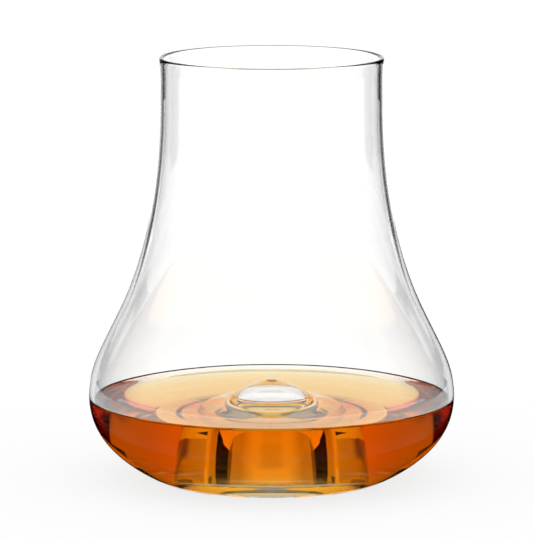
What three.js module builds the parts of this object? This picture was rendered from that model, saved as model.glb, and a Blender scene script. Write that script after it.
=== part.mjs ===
import * as THREE from 'three';

// Spirits glass: a bell-shaped tumbler blown in one piece over a punted base, with one pour of spirit.
// Millimetres, +Z up. The origin is the centre of the ring that the glass stands on.
// A profile point is a Vector2: x is the distance from the axis, y the height above the table.

// Outside of the bell, ring by ring from the rim down
const RIM_HEIGHT = 97;
const RIM_RADIUS = 25.7;
const WAIST_HEIGHT = 86.8;
const WAIST_RADIUS = 25.5;
const SHOULDER_HEIGHT = 39;
const SHOULDER_RADIUS = 34.7;
const BELLY_HEIGHT = 19;
const BELLY_RADIUS = 42;
const HEEL_HEIGHT = 0.4;
const HEEL_OVERHANG = 0.9;
const FOOT_RADIUS = 26.6;

// Slope of the outside at those rings: lean from the vertical above, rise from the table below
const RIM_FLARE_DEG = 6.8;
const SHOULDER_LEAN_DEG = 25.6;
const HEEL_RISE_DEG = 26.6;

// Thickness of the glass
const RIM_WALL = 1;
const BELLY_WALL = 1.1;
const FLOOR_THICKNESS = 5.2;
const CROWN_THICKNESS = 5.4;

// Inside of the base: a round moat about a punt with a leaning flank and a peaked crown
const MOAT_INSET = 5;
const PUNT_FOOT_RADIUS = 17.5;
const PUNT_FLANK_RADIUS = 15.2;
const PUNT_FLANK_HEIGHT = 13;
const PUNT_LEAN_DEG = 26;
const PUNT_HEIGHT = 22.4;

// Underside: a bearing ring, a shallow relief inside it and a deep, tapering hollow kick under the punt
const BEARING_WIDTH = 4.2;
const RELIEF_HEIGHT = 0.7;
const RELIEF_SLOPE_WIDTH = 1.8;
const KICK_RADIUS = 10.6;
const KICK_LEAN_DEG = 12;
const KICK_LIP = 1.2;

// The pour: how much of the crown stands out of it, how far it climbs the wall and the crown,
// and the film of space between the two solids
const CROWN_SHOWING = 4.6;
const WALL_RISE = 0.85;
const WALL_REACH = 4.5;
const WALL_CONTACT_DEG = 45;
const SHORE_RISE = 1;
const SHORE_REACH = 6;
const SHORE_SLOPE_DEG = 38;
const FILM_GAP = 0.15;

// How far each stretch of a profile keeps its first and last slope, as shares of its span
const UNDERSIDE_PULL = { first: 0.42, last: 0.36 };
const BOWL_PULL = { first: 0.42, last: 0.45 };
const BELLY_PULL = { first: 0.31, last: 0.5 };
const CHIMNEY_PULL = { first: 0.19, last: 0.5 };
const LIP_PULL = { first: 0.33, last: 0.33 };
const FLANK_PULL = { first: 0.15, last: 0.6 };
const CROWN_PULL = { first: 0.12, last: 0.35 };
const KICK_PULL = { first: 0.7, last: 0.4 };
const MENISCUS_PULL = { first: 0.25, last: 0.55 };
const SHORE_PULL = { first: 0.5, last: 0.25 };
const ROUND_PULL = { first: 0.39, last: 0.39 };

// Facets round the axis and along the profile
const SIDES = 48;
const LONG_STEPS = 8;
const SHORT_STEPS = 4;
const HEEL_STEPS = 2;
const RIM_STEPS = 6;

const OUTWARD = new THREE.Vector2(1, 0);
const INWARD = new THREE.Vector2(-1, 0);
const UP = new THREE.Vector2(0, 1);
const DOWN = new THREE.Vector2(0, -1);

// A direction that leans from the vertical, outwards where the angle is positive.
function leaning(degrees) {
  const angle = THREE.MathUtils.degToRad(degrees);
  return new THREE.Vector2(Math.sin(angle), Math.cos(angle));
}

// A ring of the profile: where it is, and which way the profile runs through it.
function ring(radius, height, along) {
  return { at: new THREE.Vector2(radius, height), along };
}

// A smooth stretch of the profile from one ring to the next.
function stretch(from, to, pull, steps) {
  const span = from.at.distanceTo(to.at);
  const leave = from.at.clone().addScaledVector(from.along, pull.first * span);
  const arrive = to.at.clone().addScaledVector(to.along, -pull.last * span);
  return new THREE.CubicBezierCurve(from.at, leave, arrive, to.at).getPoints(steps);
}

// Joins stretches that each start where the one before ends.
function chain(...stretches) {
  return stretches.flatMap((points, i) => (i === 0 ? points : points.slice(1)));
}

// The part of a profile that lies below a level, cut off at that level.
function below(points, level) {
  const kept = [];
  points.forEach((point, i) => {
    if (point.y <= level) {
      kept.push(point);
    }
    const next = points[i + 1];
    if (next && (point.y - level) * (next.y - level) < 0) {
      kept.push(point.clone().lerp(next, (level - point.y) / (next.y - point.y)));
    }
  });
  return kept;
}

// Turns a profile about the axis, which stands along Z.
function turned(points) {
  return new THREE.LatheGeometry(points, SIDES).rotateX(Math.PI / 2);
}

// Underside, from the axis out to the foot: kick, relief and bearing ring.
function undersideProfile() {
  const bearingRadius = FOOT_RADIUS - BEARING_WIDTH;
  const ceiling = ring(0, PUNT_HEIGHT - CROWN_THICKNESS, OUTWARD);
  const flank = ring(KICK_RADIUS, RELIEF_HEIGHT + KICK_LIP, leaning(180 - KICK_LEAN_DEG));
  const mouth = ring(KICK_RADIUS + KICK_LIP, RELIEF_HEIGHT, OUTWARD);
  const relief = ring(bearingRadius - RELIEF_SLOPE_WIDTH, RELIEF_HEIGHT, OUTWARD);
  const bearing = ring(bearingRadius, 0, OUTWARD);
  return chain(
    stretch(ceiling, flank, KICK_PULL, LONG_STEPS),
    stretch(flank, mouth, ROUND_PULL, SHORT_STEPS),
    [mouth.at, relief.at],
    stretch(relief, bearing, ROUND_PULL, SHORT_STEPS),
    [bearing.at, new THREE.Vector2(FOOT_RADIUS, 0)],
  );
}

// Outside below the belly, from the foot round the heel and up.
function heelProfile() {
  const foot = ring(FOOT_RADIUS, 0, OUTWARD);
  const heel = ring(FOOT_RADIUS + HEEL_OVERHANG, HEEL_HEIGHT, leaning(90 - HEEL_RISE_DEG));
  const belly = ring(BELLY_RADIUS, BELLY_HEIGHT, UP);
  return chain(
    stretch(foot, heel, ROUND_PULL, HEEL_STEPS),
    stretch(heel, belly, UNDERSIDE_PULL, LONG_STEPS),
  );
}

// Outside above the belly, up to where the rim starts to round over.
function bellProfile() {
  const belly = ring(BELLY_RADIUS, BELLY_HEIGHT, UP);
  const shoulder = ring(SHOULDER_RADIUS, SHOULDER_HEIGHT, leaning(-SHOULDER_LEAN_DEG));
  const waist = ring(WAIST_RADIUS, WAIST_HEIGHT, UP);
  const lip = ring(RIM_RADIUS, RIM_HEIGHT - RIM_WALL / 2, leaning(RIM_FLARE_DEG));
  return chain(
    stretch(belly, shoulder, BELLY_PULL, LONG_STEPS),
    stretch(shoulder, waist, CHIMNEY_PULL, LONG_STEPS),
    stretch(waist, lip, LIP_PULL, SHORT_STEPS),
  );
}

// Inside of the bell, from the rim down to the belly: the outside less a wall that is graded by height.
function wallProfile(clearance) {
  const bell = bellProfile();
  const last = bell.length - 1;
  const inside = bell.map((point, i) => {
    const level = i === 0 || i === last;
    const along = level ? UP : bell[i + 1].clone().sub(bell[i - 1]).normalize();
    const wall = THREE.MathUtils.mapLinear(point.y, bell[0].y, bell[last].y, BELLY_WALL, RIM_WALL) + clearance;
    return new THREE.Vector2(point.x - along.y * wall, point.y + along.x * wall);
  });
  return inside.reverse();
}

// Inside of the bowl, from the belly down to the moat and across to the punt.
function bowlProfile(clearance) {
  const floorHeight = FLOOR_THICKNESS + clearance;
  const belly = ring(BELLY_RADIUS - BELLY_WALL - clearance, BELLY_HEIGHT, DOWN);
  const moat = ring(FOOT_RADIUS - MOAT_INSET, floorHeight, INWARD);
  const puntFoot = new THREE.Vector2(PUNT_FOOT_RADIUS, floorHeight);
  return chain(stretch(belly, moat, BOWL_PULL, LONG_STEPS), [moat.at, puntFoot]);
}

// Punt, from its foot in the moat up its flank and over the crown to the axis.
function puntProfile(clearance) {
  const lean = leaning(-PUNT_LEAN_DEG);
  const foot = ring(PUNT_FOOT_RADIUS, FLOOR_THICKNESS + clearance, INWARD);
  const flank = ring(
    PUNT_FLANK_RADIUS + lean.y * clearance,
    PUNT_FLANK_HEIGHT - lean.x * clearance,
    lean,
  );
  const crown = ring(0, PUNT_HEIGHT + clearance, INWARD);
  return chain(
    stretch(foot, flank, FLANK_PULL, LONG_STEPS),
    stretch(flank, crown, CROWN_PULL, LONG_STEPS),
  );
}

// Fire-polished rim: a half round over the top of the wall, from its outer to its inner edge.
function rimProfile(outer, inner) {
  const centre = outer.clone().lerp(inner, 0.5);
  const points = [];
  for (let i = 0; i <= RIM_STEPS; i += 1) {
    points.push(outer.clone().rotateAround(centre, (Math.PI * i) / RIM_STEPS));
  }
  return points;
}

// The glass: one closed profile from the axis in the kick, round the wall and back to the axis on the punt.
function glassGeometry() {
  const bell = bellProfile();
  const wall = wallProfile(0);
  const rim = rimProfile(bell[bell.length - 1], wall[0]);
  return turned(chain(
    undersideProfile(),
    heelProfile(),
    bell,
    rim,
    wall,
    bowlProfile(0),
    puntProfile(0),
  ));
}

// The pour: a ring of spirit round the punt, which climbs the wall outside and the crown inside.
function spiritGeometry() {
  const level = PUNT_HEIGHT - CROWN_SHOWING;
  const punt = below(puntProfile(FILM_GAP), level + SHORE_RISE).reverse();
  const inside = chain(wallProfile(FILM_GAP), bowlProfile(FILM_GAP)).reverse();
  const bed = below(inside, level + WALL_RISE);
  const wallEdge = bed[bed.length - 1];
  const contact = ring(wallEdge.x, wallEdge.y, leaning(WALL_CONTACT_DEG - 180));
  const outerCalm = ring(wallEdge.x - WALL_REACH, level, INWARD);
  const innerCalm = ring(punt[0].x + SHORE_REACH, level, INWARD);
  const shore = ring(punt[0].x, punt[0].y, leaning(SHORE_SLOPE_DEG - 90));
  return turned(chain(
    punt,
    bed,
    stretch(contact, outerCalm, MENISCUS_PULL, SHORT_STEPS),
    [outerCalm.at, innerCalm.at],
    stretch(innerCalm, shore, SHORE_PULL, SHORT_STEPS),
  ));
}

const glass = new THREE.Mesh(glassGeometry(), new THREE.MeshStandardMaterial({
  color: 0xf2f6f7,
  roughness: 0.03,
  metalness: 0,
  transparent: true,
  opacity: 0.35,
}));
glass.name = 'glass_body';

const spirit = new THREE.Mesh(spiritGeometry(), new THREE.MeshStandardMaterial({
  color: 0xb4500c,
  roughness: 0.05,
  metalness: 0,
  transparent: true,
  opacity: 0.75,
}));
spirit.name = 'spirit_pour';

const spiritsGlass = new THREE.Group();
spiritsGlass.add(glass, spirit);

export default spiritsGlass;
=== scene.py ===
"""Spirits glass: a bell-shaped tumbler over a hollow punted base, with one pour of amber spirit.

Sizes of the glass and its pour are in millimetres, Z is up, and the glass stands on Z = 0 about the Z axis.
"""

import logging
import math
from dataclasses import dataclass
from enum import Enum

import bmesh
import bpy
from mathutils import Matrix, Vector
from mathutils.geometry import interpolate_bezier


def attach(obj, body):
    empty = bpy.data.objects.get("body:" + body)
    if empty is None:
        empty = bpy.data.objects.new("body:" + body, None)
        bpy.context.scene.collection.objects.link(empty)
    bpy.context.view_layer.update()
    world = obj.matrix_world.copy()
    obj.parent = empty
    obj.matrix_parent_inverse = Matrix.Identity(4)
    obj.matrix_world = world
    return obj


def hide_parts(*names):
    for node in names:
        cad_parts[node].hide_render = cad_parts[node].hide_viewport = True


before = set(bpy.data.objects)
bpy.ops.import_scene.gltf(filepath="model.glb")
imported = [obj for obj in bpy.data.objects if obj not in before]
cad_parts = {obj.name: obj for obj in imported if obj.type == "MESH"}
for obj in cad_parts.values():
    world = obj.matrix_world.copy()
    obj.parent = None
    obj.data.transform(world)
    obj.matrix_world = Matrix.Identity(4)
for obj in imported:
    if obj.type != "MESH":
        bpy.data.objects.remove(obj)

LOG = logging.getLogger("spirits_glass")
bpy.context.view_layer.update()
MM = 0.001
TURN_STEPS = 192
LONG_STEPS = 32
SHORT_STEPS = 12
WELD = 2e-7
SLIVER = 1e-7
WHITE = (1.0, 1.0, 1.0, 1.0)
BLACK = (0.0, 0.0, 0.0, 1.0)
WAVE_DETAIL = 1.5
CLOUD_DETAIL = 3.0
CLOUD_FINENESS = 3.0

Profile = list[Vector]
Span = tuple[float, float]
Point = tuple[float, float, float]
Colour = tuple[float, float, float, float]
Edge = tuple[Span, Span]
Socket = bpy.types.NodeSocket


class Ray(Enum):
    """Kinds of light ray that a material or the surroundings can tell apart."""

    CAMERA = "Is Camera Ray"
    DIFFUSE = "Is Diffuse Ray"
    GLOSSY = "Is Glossy Ray"
    MIRRORED = "Is Reflection Ray"
    THROUGH = "Is Transmission Ray"


class Seen(Enum):
    """Which rays meet a studio card: those mirrored in the glass, or those seen through it too."""

    MIRRORED_ONLY = "mirrored"
    MIRRORED_AND_THROUGH = "both"


class Face(Enum):
    """Material slots of the glass: where it is dry, and where the pour wets it."""

    DRY = 0
    WETTED = 1


@dataclass(frozen=True)
class Pull:
    """How far a stretch of profile keeps its first and last slope, as shares of its span."""

    first: float
    last: float


@dataclass(frozen=True)
class Ring:
    """A ring of a turned profile, with the direction in which the profile runs through it."""

    radius: float
    height: float
    along: Vector

    @property
    def at(self) -> Vector:
        """The ring's point in the profile plane."""
        return Vector((self.radius, 0.0, self.height))


OUTWARD = Vector((1.0, 0.0, 0.0))
INWARD = Vector((-1.0, 0.0, 0.0))
UP = Vector((0.0, 0.0, 1.0))
DOWN = Vector((0.0, 0.0, -1.0))
ROUND = Pull(0.39, 0.39)


def leaning(degrees: float) -> Vector:
    """Gives a direction that leans from the vertical.

    Args:
        degrees: The lean, outwards where it is positive.

    Returns:
        A unit vector in the profile plane.
    """
    angle = math.radians(degrees)
    return Vector((math.sin(angle), 0.0, math.cos(angle)))


def stretch(start: Ring, end: Ring, pull: Pull, steps: int) -> Profile:
    """Draws a smooth stretch of profile between two rings.

    Args:
        start: The ring that it leaves.
        end: The ring that it reaches.
        pull: How far it keeps the slope of each ring.
        steps: The number of facets along it.

    Returns:
        The points from the first ring to the last.
    """
    span = (end.at - start.at).length
    leave = start.at + start.along * (pull.first * span)
    arrive = end.at - end.along * (pull.last * span)
    return [Vector(p) for p in interpolate_bezier(start.at, leave, arrive, end.at, steps + 1)]


def chain(*stretches: Profile) -> Profile:
    """Joins stretches that each start where the one before ends.

    Args:
        stretches: The stretches, in order.

    Returns:
        One profile without the doubled points.
    """
    joined = list(stretches[0])
    for points in stretches[1:]:
        joined.extend(points[1:])
    return joined


def cut_at(points: Profile, level: float) -> tuple[Profile, Profile]:
    """Cuts a profile in two where it first crosses a level.

    Args:
        points: The profile.
        level: The height of the cut.

    Returns:
        The part before the cut and the part after it, which share the point of the cut.
    """
    for i in range(len(points) - 1):
        here, there = points[i], points[i + 1]
        if (here.z - level) * (there.z - level) < 0.0:
            cut = here.lerp(there, (level - here.z) / (there.z - here.z))
            return points[: i + 1] + [cut], [cut] + points[i + 1:]
    return points, points[-1:]


def turn(bm: bmesh.types.BMesh, points: Profile, slot: int = 0) -> None:
    """Turns a profile about the Z axis and gives its faces a material slot.

    Args:
        bm: The mesh that takes the faces.
        points: The profile in millimetres.
        slot: The index of the material slot.
    """
    before = set(bm.faces)
    verts = [bm.verts.new(p * MM) for p in points]
    edges = [bm.edges.new(pair) for pair in zip(verts[:-1], verts[1:])]
    bmesh.ops.spin(
        bm,
        geom=verts + edges,
        cent=(0.0, 0.0, 0.0),
        axis=(0.0, 0.0, 1.0),
        angle=math.tau,
        steps=TURN_STEPS,
        use_merge=True,
    )
    for face in bm.faces:
        if face not in before:
            face.material_index = slot
            face.smooth = True


def close_up(bm: bmesh.types.BMesh, name: str) -> bpy.types.Object:
    """Closes the seams and poles of a turned mesh and makes it an object.

    Args:
        bm: The turned mesh, which is freed.
        name: The object's name.

    Returns:
        The new object, at the origin.
    """
    bmesh.ops.remove_doubles(bm, verts=bm.verts, dist=WELD)
    bmesh.ops.dissolve_degenerate(bm, edges=bm.edges, dist=SLIVER)
    bmesh.ops.recalc_face_normals(bm, faces=bm.faces)
    if bm.calc_volume(signed=True) < 0.0:
        bmesh.ops.reverse_faces(bm, faces=bm.faces)
    mesh = bpy.data.meshes.new(name)
    bm.to_mesh(mesh)
    bm.free()
    piece = bpy.data.objects.new(name, mesh)
    bpy.context.scene.collection.objects.link(piece)
    return piece


class Bench:
    """Adds and links the nodes of one node tree."""

    COLOUR_A = 6
    COLOUR_B = 7
    COLOUR_OUT = 2

    def __init__(self, tree: bpy.types.NodeTree) -> None:
        """Takes the tree that the nodes go into."""
        self.tree = tree

    def node(self, kind: str, **inputs: object) -> bpy.types.Node:
        """Adds a node and fills its inputs.

        Args:
            kind: The node's type name.
            inputs: Values or sockets by input name, with underscores for spaces.

        Returns:
            The new node.
        """
        made = self.tree.nodes.new(kind)
        for name, value in inputs.items():
            self.feed(made.inputs[name.replace("_", " ")], value)
        return made

    def feed(self, socket: Socket, value: object) -> None:
        """Links a socket to an input, or sets the input's plain value.

        Args:
            socket: The input.
            value: An output socket, or a plain value.
        """
        if isinstance(value, Socket):
            self.tree.links.new(value, socket)
        else:
            socket.default_value = value

    def sum(self, operation: str, *values: object) -> Socket:
        """Adds a Math node.

        Args:
            operation: The Math node's operation.
            values: Its operands, sockets or numbers.

        Returns:
            The result's socket.
        """
        made = self.tree.nodes.new("ShaderNodeMath")
        made.operation = operation
        for socket, value in zip(made.inputs, values):
            self.feed(socket, value)
        return made.outputs[0]

    def fade(self, value: object, span: Span, levels: Span) -> Socket:
        """Fades smoothly from one level to another as a value crosses a span.

        Args:
            value: The value's socket.
            span: Where the fade starts and ends.
            levels: The level before the span and the level after it.

        Returns:
            The level's socket.
        """
        made = self.node("ShaderNodeMapRange", Value=value)
        made.interpolation_type = "SMOOTHSTEP"
        self.feed(made.inputs["From Min"], span[0])
        self.feed(made.inputs["From Max"], span[1])
        self.feed(made.inputs["To Min"], levels[0])
        self.feed(made.inputs["To Max"], levels[1])
        return made.outputs["Result"]

    def blend(self, first: object, second: object, share: object) -> Socket:
        """Blends two numbers.

        Args:
            first: The number at a share of 0.
            second: The number at a share of 1.
            share: The share of the second.

        Returns:
            The blend's socket.
        """
        made = self.tree.nodes.new("ShaderNodeMix")
        made.data_type = "FLOAT"
        self.feed(made.inputs["Factor"], share)
        self.feed(made.inputs["A"], first)
        self.feed(made.inputs["B"], second)
        return made.outputs["Result"]

    def tint(self, first: Colour, second: Colour, share: object) -> Socket:
        """Blends two colours by a share, as blend does two numbers.

        Args:
            first: The colour at a share of 0.
            second: The colour at a share of 1.
            share: The share of the second.

        Returns:
            The colour's socket.
        """
        made = self.tree.nodes.new("ShaderNodeMix")
        made.data_type = "RGBA"
        self.feed(made.inputs["Factor"], share)
        self.feed(made.inputs[self.COLOUR_A], first)
        self.feed(made.inputs[self.COLOUR_B], second)
        return made.outputs[self.COLOUR_OUT]

    def turned_away(self, axes: bpy.types.bpy_prop_collection) -> Socket:
        """Gives how far a point or a direction lies from straight behind the glass, to either side.

        Args:
            axes: The outputs X, Y and Z of the point or the direction.

        Returns:
            The socket of the angle in degrees.
        """
        turned = self.sum("ABSOLUTE", self.sum("ARCTAN2", axes["X"], axes["Y"]))
        return self.sum("DEGREES", turned)


def new_material(name: str) -> tuple[bpy.types.Material, Bench]:
    """Makes an empty node material.

    Args:
        name: The material's name.

    Returns:
        The material and the bench of its nodes.
    """
    material = bpy.data.materials.new(name)
    material.use_nodes = True
    material.node_tree.nodes.clear()
    return material, Bench(material.node_tree)


def melt_waves() -> bpy.types.NodeTree:
    """Makes the shared effect of slow waves left in a surface that set from the melt or lies at rest.

    Returns:
        A node group that takes the waves' Scale and Stretch and puts out their Height and a faint Cloud.
    """
    group = bpy.data.node_groups.get("melt_waves")
    if group:
        return group
    group = bpy.data.node_groups.new("melt_waves", "ShaderNodeTree")
    for name in ("Scale", "Stretch"):
        group.interface.new_socket(name, in_out="INPUT", socket_type="NodeSocketFloat")
    for name in ("Height", "Cloud"):
        group.interface.new_socket(name, in_out="OUTPUT", socket_type="NodeSocketFloat")
    bench = Bench(group)
    inlet = bench.node("NodeGroupInput")
    place = bench.node("ShaderNodeTexCoord").outputs["Object"]
    axes = bench.node("ShaderNodeSeparateXYZ", Vector=place).outputs
    drawn = bench.node(
        "ShaderNodeCombineXYZ",
        X=axes["X"],
        Y=axes["Y"],
        Z=bench.sum("MULTIPLY", axes["Z"], inlet.outputs["Stretch"]),
    )
    waves = bench.node(
        "ShaderNodeTexNoise",
        Vector=drawn.outputs[0],
        Scale=inlet.outputs["Scale"],
        Detail=WAVE_DETAIL,
    )
    cloud = bench.node(
        "ShaderNodeTexNoise",
        Vector=place,
        Scale=bench.sum("MULTIPLY", inlet.outputs["Scale"], CLOUD_FINENESS),
        Detail=CLOUD_DETAIL,
    )
    outlet = bench.node("NodeGroupOutput")
    bench.feed(outlet.inputs["Height"], waves.outputs[0])
    bench.feed(outlet.inputs["Cloud"], cloud.outputs[0])
    return group


@dataclass(frozen=True)
class ClearMatter:
    """Clear matter with a smooth face that is faintly waved and faintly tinted."""

    name: str
    ior: float
    mirror: Colour
    pale: Colour
    deep: Colour
    wave_scale: float
    wave_stretch: float
    wave_depth: float

    def face(self, bench: Bench) -> Socket:
        """Makes the face, which mirrors light and bends what passes.

        Args:
            bench: The bench of the material's nodes.

        Returns:
            The face's socket.
        """
        waves = bench.node("ShaderNodeGroup")
        waves.node_tree = melt_waves()
        bench.feed(waves.inputs["Scale"], self.wave_scale)
        bench.feed(waves.inputs["Stretch"], self.wave_stretch)
        bump = bench.node(
            "ShaderNodeBump",
            Height=waves.outputs["Height"],
            Distance=self.wave_depth,
            Strength=1.0,
        )
        shader = bench.node(
            "ShaderNodeBsdfPrincipled",
            Base_Color=bench.tint(self.pale, self.deep, waves.outputs["Cloud"]),
            Roughness=0.0,
            IOR=self.ior,
            Transmission_Weight=1.0,
            Specular_Tint=self.mirror,
            Normal=bump.outputs["Normal"],
        )
        return shader.outputs["BSDF"]


@dataclass(frozen=True)
class ClearGlass(ClearMatter):
    """Clear blown glass. Where spirit wets it, it mirrors next to nothing."""

    name: str
    ior: float = 1.52
    mirror: Colour = WHITE
    pale: Colour = WHITE
    deep: Colour = (0.985, 0.993, 0.99, 1.0)
    wave_scale: float = 45.0
    wave_stretch: float = 0.15
    wave_depth: float = 0.00005

    def make(self) -> bpy.types.Material:
        """Makes the material.

        Returns:
            The glass.
        """
        material, bench = new_material(self.name)
        bench.node("ShaderNodeOutputMaterial", Surface=self.face(bench))
        return material


@dataclass(frozen=True)
class AmberSpirit(ClearMatter):
    """Clear amber liquid that takes blue and green out of the light along its depth."""

    name: str = "amber_spirit"
    ior: float = 1.363
    mirror: Colour = BLACK
    pale: Colour = WHITE
    deep: Colour = (1.0, 0.985, 0.96, 1.0)
    wave_scale: float = 45.0
    wave_stretch: float = 1.0
    wave_depth: float = 0.00006
    kept: Colour = (0.9735, 0.743, 0.0, 1.0)
    strength: float = 135.0

    def make(self) -> bpy.types.Material:
        """Makes the material.

        Returns:
            The spirit.
        """
        material, bench = new_material(self.name)
        body = bench.node("ShaderNodeVolumeAbsorption", Color=self.kept, Density=self.strength)
        bench.node("ShaderNodeOutputMaterial", Surface=self.face(bench), Volume=body.outputs["Volume"])
        return material


@dataclass(frozen=True)
class WhitePaper:
    """White paper: plain white in view, and in mirrors and through glass save for a painted amber shadow
    under the base.
    """

    name: str = "white_paper"
    glow: float = 0.8
    grain_scale: float = 900.0
    grain_detail: float = 4.0
    grain_dark: Colour = (0.2, 0.2, 0.2, 1.0)
    grain_pale: Colour = (0.22, 0.22, 0.22, 1.0)
    through_glass: Colour = (1.18, 1.18, 1.18, 1.0)
    # Painted shadow: the amber shade that mirrored and through rays see on the paper under the base, and the
    # reaches from the axis over which it fades to plain white
    painted_shade_colour: Colour = (0.9, 0.64, 0.3, 1.0)
    painted_shade_span: Span = (0.016, 0.032)

    def make(self) -> bpy.types.Material:
        """Makes the material.

        Returns:
            The paper.
        """
        material, bench = new_material(self.name)
        kind = bench.node("ShaderNodeLightPath").outputs
        place = bench.node("ShaderNodeTexCoord").outputs["Object"]
        grain = bench.node(
            "ShaderNodeTexNoise",
            Vector=place,
            Scale=self.grain_scale,
            Detail=self.grain_detail,
        )
        sheet = bench.tint(self.grain_dark, self.grain_pale, grain.outputs[0])
        matt = bench.node("ShaderNodeBsdfDiffuse", Color=sheet)
        lit = bench.node("ShaderNodeEmission", Strength=self.glow)
        shaded = bench.node("ShaderNodeAddShader")
        bench.feed(shaded.inputs[0], matt.outputs[0])
        bench.feed(shaded.inputs[1], lit.outputs[0])
        # Painted amber shadow: for mirrored and through rays, the paper's glow fades from the shade colour
        # near the axis to plain white farther out, by distance from the axis
        axes = bench.node("ShaderNodeSeparateXYZ", Vector=place).outputs
        squares = [bench.sum("MULTIPLY", axes[name], axes[name]) for name in ("X", "Y")]
        reach = bench.sum("SQRT", bench.sum("ADD", *squares))
        clear = bench.fade(reach, self.painted_shade_span, (0.0, 1.0))
        painted_shade_tone = bench.tint(self.painted_shade_colour, self.through_glass, clear)
        plain = bench.node("ShaderNodeEmission", Color=painted_shade_tone)
        optical = bench.sum("MAXIMUM", kind[Ray.GLOSSY.value], kind[Ray.THROUGH.value])
        pick = bench.node("ShaderNodeMixShader", Fac=optical)
        bench.feed(pick.inputs[1], shaded.outputs[0])
        bench.feed(pick.inputs[2], plain.outputs[0])
        bench.node("ShaderNodeOutputMaterial", Surface=pick.outputs[0])
        return material


@dataclass(frozen=True)
class StudioCard:
    """Dark card that only the glass sees, which may pale towards the edge that is nearer the light."""

    name: str
    pale_level: float = 0.0
    pale_deg: Span = (24.0, 44.0)

    def make(self) -> bpy.types.Material:
        """Makes the material.

        Returns:
            The card's finish.
        """
        material, bench = new_material(self.name)
        place = bench.node("ShaderNodeTexCoord").outputs["Object"]
        axes = bench.node("ShaderNodeSeparateXYZ", Vector=place).outputs
        level = bench.fade(bench.turned_away(axes), self.pale_deg, (self.pale_level, 0.0))
        shader = bench.node("ShaderNodeEmission", Strength=level)
        bench.node("ShaderNodeOutputMaterial", Surface=shader.outputs[0])
        return material


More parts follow.
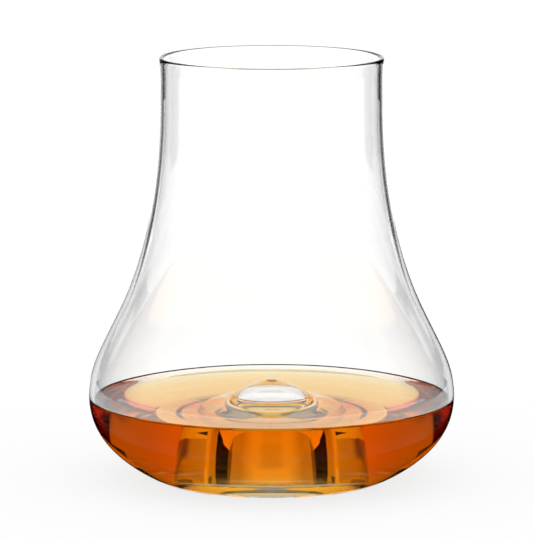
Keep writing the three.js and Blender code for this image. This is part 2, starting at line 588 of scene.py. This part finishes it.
@dataclass
class GlassBody:
    """The glass, in one piece: bell, rim, bowl, punt and the hollow underside."""

    # Outside, ring by ring from the rim down, and its slope there
    rim_height: float = 97.0
    rim_radius: float = 25.7
    waist_height: float = 86.8
    waist_radius: float = 25.5
    shoulder_height: float = 39.0
    shoulder_radius: float = 34.7
    belly_height: float = 19.0
    belly_radius: float = 42.0
    heel_height: float = 0.4
    heel_overhang: float = 0.9
    foot_radius: float = 26.6
    rim_flare_deg: float = 6.8
    shoulder_lean_deg: float = 25.6
    heel_rise_deg: float = 26.6

    # Thickness of the glass
    rim_wall: float = 1.0
    belly_wall: float = 1.1
    floor_thickness: float = 5.2
    crown_thickness: float = 5.4

    # Inside of the base: a round moat about a punt with a leaning flank and a peaked crown
    moat_inset: float = 5.0
    punt_foot_radius: float = 17.5
    punt_flank_radius: float = 15.2
    punt_flank_height: float = 13.0
    punt_lean_deg: float = 26.0
    punt_height: float = 22.4

    # Underside: a bearing ring, a shallow relief inside it and a tapering kick under the punt
    bearing_width: float = 4.2
    relief_height: float = 0.7
    relief_slope_width: float = 1.8
    kick_radius: float = 10.6
    kick_lean_deg: float = 12.0
    kick_lip: float = 1.2

    # How far each stretch of the profile keeps its first and last slope
    kick_pull: Pull = Pull(0.7, 0.4)
    heel_pull: Pull = Pull(0.42, 0.36)
    belly_pull: Pull = Pull(0.31, 0.5)
    chimney_pull: Pull = Pull(0.19, 0.5)
    lip_pull: Pull = Pull(0.33, 0.33)
    bowl_pull: Pull = Pull(0.42, 0.45)
    flank_pull: Pull = Pull(0.15, 0.6)
    crown_pull: Pull = Pull(0.12, 0.35)

    # Finishes, dry and wetted
    clear: ClearGlass = ClearGlass("clear_glass")
    wetted: ClearGlass = ClearGlass("wetted_glass", mirror=BLACK)

    def underside(self) -> Profile:
        """Draws the underside.

        Returns:
            The profile from the axis in the kick out to the foot.
        """
        bearing_radius = self.foot_radius - self.bearing_width
        ceiling = Ring(0.0, self.punt_height - self.crown_thickness, OUTWARD)
        flank_slope = leaning(180.0 - self.kick_lean_deg)
        flank = Ring(self.kick_radius, self.relief_height + self.kick_lip, flank_slope)
        mouth = Ring(self.kick_radius + self.kick_lip, self.relief_height, OUTWARD)
        relief = Ring(bearing_radius - self.relief_slope_width, self.relief_height, OUTWARD)
        bearing = Ring(bearing_radius, 0.0, OUTWARD)
        foot = Ring(self.foot_radius, 0.0, OUTWARD)
        return chain(
            stretch(ceiling, flank, self.kick_pull, LONG_STEPS),
            stretch(flank, mouth, ROUND, SHORT_STEPS),
            [mouth.at, relief.at],
            stretch(relief, bearing, ROUND, SHORT_STEPS),
            [bearing.at, foot.at],
        )

    def heel(self) -> Profile:
        """Draws the outside below the belly.

        Returns:
            The profile from the foot round the heel and up to the belly.
        """
        foot = Ring(self.foot_radius, 0.0, OUTWARD)
        heel_slope = leaning(90.0 - self.heel_rise_deg)
        heel = Ring(self.foot_radius + self.heel_overhang, self.heel_height, heel_slope)
        belly = Ring(self.belly_radius, self.belly_height, UP)
        return chain(
            stretch(foot, heel, ROUND, SHORT_STEPS),
            stretch(heel, belly, self.heel_pull, LONG_STEPS),
        )

    def bell(self) -> Profile:
        """Draws the outside above the belly.

        Returns:
            The profile from the belly up to where the rim rounds over.
        """
        belly = Ring(self.belly_radius, self.belly_height, UP)
        shoulder = Ring(self.shoulder_radius, self.shoulder_height, leaning(-self.shoulder_lean_deg))
        waist = Ring(self.waist_radius, self.waist_height, UP)
        lip = Ring(self.rim_radius, self.rim_height - self.rim_wall / 2.0, leaning(self.rim_flare_deg))
        return chain(
            stretch(belly, shoulder, self.belly_pull, LONG_STEPS),
            stretch(shoulder, waist, self.chimney_pull, LONG_STEPS),
            stretch(waist, lip, self.lip_pull, SHORT_STEPS),
        )

    def wall(self, clearance: float = 0.0) -> Profile:
        """Draws the inside of the bell, from the rim down to the belly.

        Args:
            clearance: How far inside the glass's own surface to draw it.

        Returns:
            The outside of the bell less a wall that is graded by height.
        """
        bell = self.bell()
        low, high = bell[0].z, bell[-1].z
        inside: Profile = []
        for i, point in enumerate(bell):
            level = i in (0, len(bell) - 1)
            along = UP if level else (bell[i + 1] - bell[i - 1]).normalized()
            share = (point.z - low) / (high - low)
            wall = self.belly_wall + (self.rim_wall - self.belly_wall) * share + clearance
            inside.append(Vector((point.x - along.z * wall, 0.0, point.z + along.x * wall)))
        inside.reverse()
        return inside

    def bowl(self, clearance: float = 0.0) -> Profile:
        """Draws the inside of the bowl, from the belly down to the moat and across to the punt.

        Args:
            clearance: How far inside the glass's own surface to draw it.

        Returns:
            The bowl's profile.
        """
        floor = self.floor_thickness + clearance
        belly = Ring(self.belly_radius - self.belly_wall - clearance, self.belly_height, DOWN)
        moat = Ring(self.foot_radius - self.moat_inset, floor, INWARD)
        foot = Ring(self.punt_foot_radius, floor, INWARD)
        return chain(stretch(belly, moat, self.bowl_pull, LONG_STEPS), [moat.at, foot.at])

    def punt(self, clearance: float = 0.0) -> Profile:
        """Draws the punt, from its foot up its flank and over the crown to the axis.

        Args:
            clearance: How far off the glass's own surface to draw it.

        Returns:
            The punt's profile.
        """
        lean = leaning(-self.punt_lean_deg)
        foot = Ring(self.punt_foot_radius, self.floor_thickness + clearance, INWARD)
        flank = Ring(
            self.punt_flank_radius + lean.z * clearance,
            self.punt_flank_height - lean.x * clearance,
            lean,
        )
        crown = Ring(0.0, self.punt_height + clearance, INWARD)
        return chain(
            stretch(foot, flank, self.flank_pull, LONG_STEPS),
            stretch(flank, crown, self.crown_pull, LONG_STEPS),
        )

    def rim(self, outer: Vector, inner: Vector) -> Profile:
        """Draws the fire-polished rim, a half round over the top of the wall.

        Args:
            outer: The wall's outer edge.
            inner: The wall's inner edge.

        Returns:
            The half round from the outer to the inner edge.
        """
        middle = outer.lerp(inner, 0.5)
        across = outer - middle
        over = Vector((-across.z, 0.0, across.x))
        turns = [math.pi * i / SHORT_STEPS for i in range(SHORT_STEPS + 1)]
        return [middle + across * math.cos(a) + over * math.sin(a) for a in turns]

    def build(self, wall_contact: float, shore: float) -> bpy.types.Object:
        """Builds the glass, with the part of the inside that the pour wets in a slot of its own.

        Args:
            wall_contact: How high the pour stands on the wall.
            shore: How high it stands on the punt.

        Returns:
            The glass.
        """
        bell, wall = self.bell(), self.wall()
        dry_wall, wet_bowl = cut_at(chain(wall, self.bowl()), wall_contact)
        wet_flank, dry_crown = cut_at(self.punt(), shore)
        bm = bmesh.new()
        outside = chain(self.underside(), self.heel(), bell)
        turn(bm, chain(outside, self.rim(bell[-1], wall[0]), dry_wall), Face.DRY.value)
        turn(bm, chain(wet_bowl, wet_flank), Face.WETTED.value)
        turn(bm, dry_crown, Face.DRY.value)
        return close_up(bm, "glass_body_clear")

    def dress(self, piece: bpy.types.Object) -> None:
        """Gives the glass its finishes and its place in the frame.

        Args:
            piece: The glass.
        """
        piece.data.materials.append(self.clear.make())
        piece.data.materials.append(self.wetted.make())
        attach(piece, "root")
        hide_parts("glass_body")


@dataclass
class SpiritPour:
    """The pour: a ring of spirit round the punt that climbs the wall and the crown where it touches them."""

    glass: GlassBody
    crown_showing: float = 4.6
    wall_rise: float = 0.85
    wall_reach: float = 4.5
    wall_contact_deg: float = 45.0
    shore_rise: float = 1.0
    shore_reach: float = 6.0
    shore_slope_deg: float = 38.0
    meniscus_pull: Pull = Pull(0.25, 0.55)
    shore_pull: Pull = Pull(0.5, 0.25)
    surface_steps: int = 24
    wetting: float = 0.05
    finish: AmberSpirit = AmberSpirit()

    @property
    def level(self) -> float:
        """The height of the pour's calm surface."""
        return self.glass.punt_height - self.crown_showing

    def build(self) -> bpy.types.Object:
        """Builds the pour, a hair into the glass all over so that the two wet each other.

        Returns:
            The pour.
        """
        flank, _ = cut_at(self.glass.punt(-self.wetting), self.level + self.shore_rise)
        inside = chain(self.glass.wall(-self.wetting), self.glass.bowl(-self.wetting))
        _, bed = cut_at(inside, self.level + self.wall_rise)
        contact = Ring(bed[0].x, bed[0].z, leaning(self.wall_contact_deg - 180.0))
        outer_calm = Ring(bed[0].x - self.wall_reach, self.level, INWARD)
        inner_calm = Ring(flank[-1].x + self.shore_reach, self.level, INWARD)
        shore = Ring(flank[-1].x, flank[-1].z, leaning(self.shore_slope_deg - 90.0))
        surface = chain(
            stretch(contact, outer_calm, self.meniscus_pull, self.surface_steps),
            [outer_calm.at, inner_calm.at],
            stretch(inner_calm, shore, self.shore_pull, self.surface_steps),
        )
        bm = bmesh.new()
        turn(bm, chain(bed, flank))
        turn(bm, surface)
        return close_up(bm, "spirit_pour_amber")

    def dress(self, piece: bpy.types.Object) -> None:
        """Gives the pour its finish and its place in the frame.

        Args:
            piece: The pour.
        """
        piece.data.materials.append(self.finish.make())
        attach(piece, "root")
        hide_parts("spirit_pour")


@dataclass
class Studio:
    """White paper, dark cards beside and about the glass, soft light and the camera.

    Reaches and heights are in metres. Turns are in degrees from straight behind the glass, to either side.
    """

    # Half the paper's width, and how far the paper lies below the table's plane and flat cards above it
    floor_half: float = 6.0
    lying: float = 0.0002

    # Upright flags, which start higher past a step, and the skirts under them
    flag_from_deg: float = 24.5
    flag_step_deg: float = 40.0
    flag_to_deg: float = 70.0
    flag_reach: float = 0.15
    flag_low: float = 0.043
    flag_step_low: float = 0.072
    flag_high: float = 0.16
    flag_pale_left: float = 0.2
    flag_pale_right: float = 0.06
    skirt_from_deg: float = 16.0
    card_steps: int = 48

    # Wings, patch and sheet that lie on the paper
    wing_from_deg: float = 36.0
    wing_to_deg: float = 70.0
    wing_span: Span = (0.3, 6.0)
    back_patch_deg: float = 16.0
    back_patch_span: Span = (0.07, 0.13)
    sheet_from_deg: float = 25.0
    sheet_span: Span = (0.0275, 0.6)

    # Light from behind, from the sides, from the front and from above
    back_level: float = 1.1
    side_level: float = 0.7
    side_turn_deg: Span = (10.0, 28.0)
    front_through: float = 0.3
    front_mirrored: float = 0.03
    front_turn_deg: Span = (60.0, 100.0)
    top_through: float = 0.25
    top_mirrored: float = 0.15
    top_rise_deg: Span = (20.0, 45.0)

    # Bright panel low behind the glass, and the dimmer gap under it
    panel_level: float = 1.25
    panel_turn_deg: Span = (10.0, 14.0)
    panel_low_deg: Span = (12.0, 13.0)
    panel_high_deg: Span = (19.0, 21.0)
    gap_level: float = 0.9
    gap_turn_deg: Span = (4.0, 9.0)
    gap_low_deg: Span = (8.0, 9.5)
    gap_high_deg: Span = (11.5, 13.0)

    # Dark horizon at both sides, which climbs towards the front
    dark_from_deg: Span = (31.0, 39.0)
    dark_to_deg: Span = (80.0, 92.0)
    dark_climb_deg: Span = (42.0, 56.0)
    dark_top_deg: Span = (7.5, 26.0)
    dark_soft_deg: float = 2.0

    # Camera, and how often light may pass and mirror in the glass
    camera_at: Point = (0.0, -1.03924, 0.20825)
    camera_aim: Point = (-0.00117, 0.0, 0.04796)
    camera_lens: float = 306.2
    camera_sensor: float = 36.0
    camera_far: float = 50.0
    passes: int = 24
    mirrorings: int = 12

    paper: WhitePaper = WhitePaper()

    def keep(self, bm: bmesh.types.BMesh, name: str, material: bpy.types.Material) -> bpy.types.Object:
        """Makes a mesh a stage object.

        Args:
            bm: The mesh, which is freed.
            name: The object's name.
            material: Its finish.

        Returns:
            The stage object.
        """
        mesh = bpy.data.meshes.new(name)
        bm.to_mesh(mesh)
        bm.free()
        mesh.materials.append(material)
        thing = bpy.data.objects.new(name, mesh)
        bpy.context.scene.collection.objects.link(thing)
        return thing

    def floor(self) -> None:
        """Lays the white paper."""
        bm = bmesh.new()
        bmesh.ops.create_grid(bm, x_segments=1, y_segments=1, size=self.floor_half)
        bmesh.ops.translate(bm, verts=bm.verts, vec=(0.0, 0.0, -self.lying))
        self.keep(bm, "paper_floor", self.paper.make())

    def card(self, name: str, ends: Edge, turn_deg: Span, finish: bpy.types.Material, seen: Seen) -> None:
        """Sets up a curved card about the glass, which the camera doesn't see.

        Args:
            name: The card's name.
            ends: The two points of the edge that is swept round.
            turn_deg: Where the sweep starts and ends, from straight behind the glass, to the right.
            finish: The card's finish.
            seen: Which rays meet it.
        """
        first, last = (math.radians(a) for a in turn_deg)
        bm = bmesh.new()
        verts = [bm.verts.new((r * math.sin(first), r * math.cos(first), z)) for r, z in ends]
        edge = bm.edges.new(verts)
        bmesh.ops.spin(
            bm,
            geom=verts + [edge],
            cent=(0.0, 0.0, 0.0),
            axis=(0.0, 0.0, -1.0),
            angle=last - first,
            steps=self.card_steps,
        )
        thing = self.keep(bm, name, finish)
        thing.visible_camera = False
        thing.visible_diffuse = False
        thing.visible_shadow = False
        thing.visible_transmission = seen is Seen.MIRRORED_AND_THROUGH

    def flat(self, span: Span) -> Edge:
        """Gives the two ends of a card that lies on the paper over a span of reaches."""
        return ((span[0], self.lying), (span[1], self.lying))

    def upright(self, low: float, high: float) -> Edge:
        """Gives the two ends of a card that stands at the flags' reach."""
        return ((self.flag_reach, low), (self.flag_reach, high))

    def cards(self) -> None:
        """Sets up the flags and skirts beside the glass, and lays the wings, patch and sheet on the paper."""
        black = StudioCard("black_card").make()
        both = Seen.MIRRORED_AND_THROUGH
        mirrored = Seen.MIRRORED_ONLY
        flag = self.upright(self.flag_low, self.flag_high)
        outer_flag = self.upright(self.flag_step_low, self.flag_high)
        skirt = self.upright(0.0, self.flag_low)
        sides = {"left": (-1.0, self.flag_pale_left), "right": (1.0, self.flag_pale_right)}
        for side, (way, pale) in sides.items():
            shade = StudioCard("flag_" + side, pale).make()
            step, end = way * self.flag_step_deg, way * self.flag_to_deg
            self.card("flag_" + side, flag, (way * self.flag_from_deg, step), shade, both)
            self.card("outer_flag_" + side, outer_flag, (step, end), shade, both)
            self.card("skirt_" + side, skirt, (way * self.skirt_from_deg, end), black, mirrored)
            turns = (way * self.wing_from_deg, way * self.wing_to_deg)
            self.card("wing_" + side, self.flat(self.wing_span), turns, black, both)
        turns = (-self.back_patch_deg, self.back_patch_deg)
        self.card("back_patch", self.flat(self.back_patch_span), turns, black, both)
        turns = (self.sheet_from_deg, 360.0 - self.sheet_from_deg)
        self.card("front_sheet", self.flat(self.sheet_span), turns, black, mirrored)

    def surroundings(self) -> None:
        """Paints the soft light about the glass by direction: bright behind it, dimmer round it and above."""
        world = bpy.data.worlds.new("studio_light")
        bpy.context.scene.world = world
        world.use_nodes = True
        world.node_tree.nodes.clear()
        bench = Bench(world.node_tree)
        kind = bench.node("ShaderNodeLightPath").outputs
        way = bench.node("ShaderNodeTexCoord").outputs["Generated"]
        axes = bench.node("ShaderNodeSeparateXYZ", Vector=way).outputs
        side = bench.turned_away(axes)
        rise = bench.sum("DEGREES", bench.sum("ARCSINE", axes["Z"]))
        mirrored = kind[Ray.MIRRORED.value]
        back = bench.fade(side, self.side_turn_deg, (self.back_level, self.side_level))
        front = bench.blend(self.front_through, self.front_mirrored, mirrored)
        top = bench.blend(self.top_through, self.top_mirrored, mirrored)
        level = bench.blend(back, front, bench.fade(side, self.front_turn_deg, (0.0, 1.0)))
        level = bench.blend(level, top, bench.fade(rise, self.top_rise_deg, (0.0, 1.0)))
        panels = (
            (self.panel_level, self.panel_turn_deg, self.panel_low_deg, self.panel_high_deg),
            (self.gap_level, self.gap_turn_deg, self.gap_low_deg, self.gap_high_deg),
        )
        for panel_level, turn_deg, low_deg, high_deg in panels:
            share = bench.fade(side, turn_deg, (1.0, 0.0))
            share = bench.sum("MULTIPLY", share, bench.fade(rise, low_deg, (0.0, 1.0)))
            share = bench.sum("MULTIPLY", share, bench.fade(rise, high_deg, (1.0, 0.0)))
            level = bench.blend(level, panel_level, share)
        over = bench.sum("SUBTRACT", rise, bench.fade(side, self.dark_climb_deg, self.dark_top_deg))
        dark = bench.fade(over, (-self.dark_soft_deg, self.dark_soft_deg), (1.0, 0.0))
        dark = bench.sum("MULTIPLY", dark, bench.fade(side, self.dark_from_deg, (0.0, 1.0)))
        dark = bench.sum("MULTIPLY", dark, bench.fade(side, self.dark_to_deg, (1.0, 0.0)))
        level = bench.sum("MULTIPLY", level, bench.sum("SUBTRACT", 1.0, dark))
        plain = bench.sum("MAXIMUM", kind[Ray.CAMERA.value], kind[Ray.DIFFUSE.value])
        level = bench.blend(level, 1.0, plain)
        light = bench.node("ShaderNodeBackground", Color=WHITE, Strength=level)
        bench.node("ShaderNodeOutputWorld", Surface=light.outputs[0])

    def camera(self) -> None:
        """Sets the camera at the photograph's viewing angle."""
        data = bpy.data.cameras.new("camera")
        data.lens = self.camera_lens
        data.sensor_width = self.camera_sensor
        data.clip_end = self.camera_far
        seat = bpy.data.objects.new("camera", data)
        bpy.context.scene.collection.objects.link(seat)
        seat.location = self.camera_at
        aim = Vector(self.camera_aim) - Vector(self.camera_at)
        seat.rotation_euler = aim.to_track_quat("-Z", "Y").to_euler()
        bpy.context.scene.camera = seat

    def build(self) -> None:
        """Sets up the whole studio."""
        scene = bpy.context.scene
        scene.view_settings.view_transform = "Standard"
        scene.cycles.max_bounces = self.passes
        scene.cycles.transmission_bounces = self.passes
        scene.cycles.glossy_bounces = self.mirrorings
        self.floor()
        self.cards()
        self.surroundings()
        self.camera()


def main() -> None:
    """Builds the studio, the glass and its pour, and reports each piece."""
    logging.basicConfig(level=logging.INFO, format="%(name)s: %(message)s")
    Studio().build()
    glass = GlassBody()
    pour = SpiritPour(glass)
    body = glass.build(pour.level + pour.wall_rise, pour.level + pour.shore_rise)
    glass.dress(body)
    spirit = pour.build()
    pour.dress(spirit)
    for piece in (body, spirit):
        LOG.info("%s: %d faces", piece.name, len(piece.data.polygons))


if __name__ == "__main__":
    main()
